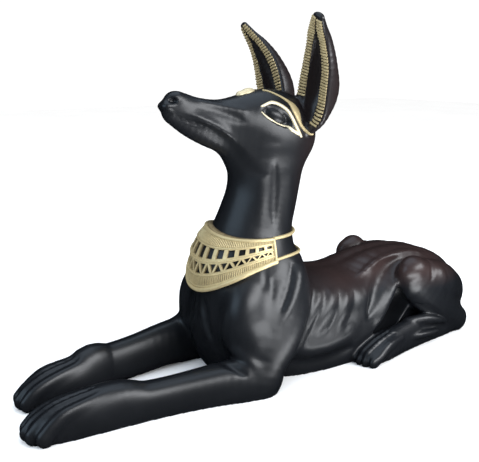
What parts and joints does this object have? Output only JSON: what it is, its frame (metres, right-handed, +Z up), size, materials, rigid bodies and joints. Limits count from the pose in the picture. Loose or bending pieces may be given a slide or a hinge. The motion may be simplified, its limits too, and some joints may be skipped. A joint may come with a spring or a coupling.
{
  "type": "recumbent jackal statue",
  "caption": "Life-size jackal statue lying with head raised and forelegs stretched out, with tall ears, openwork collar and circlet in relief",
  "frame": {"origin": "centre of the box's underside, on the ground", "axes": "+Z up, the animal looks along -Y, its left side is +X"},
  "size_m": [0.3196, 1.0636, 0.6849],
  "materials": {
    "black_paint": "satin black paint over cast resin",
    "gold_paint": "antique gold paint on the collar, circlet, eye rims and ear linings, dark in the hollows"
  },
  "bodies": {
    "root": {"jackal": "black_paint"}
  },
  "joints": []
}
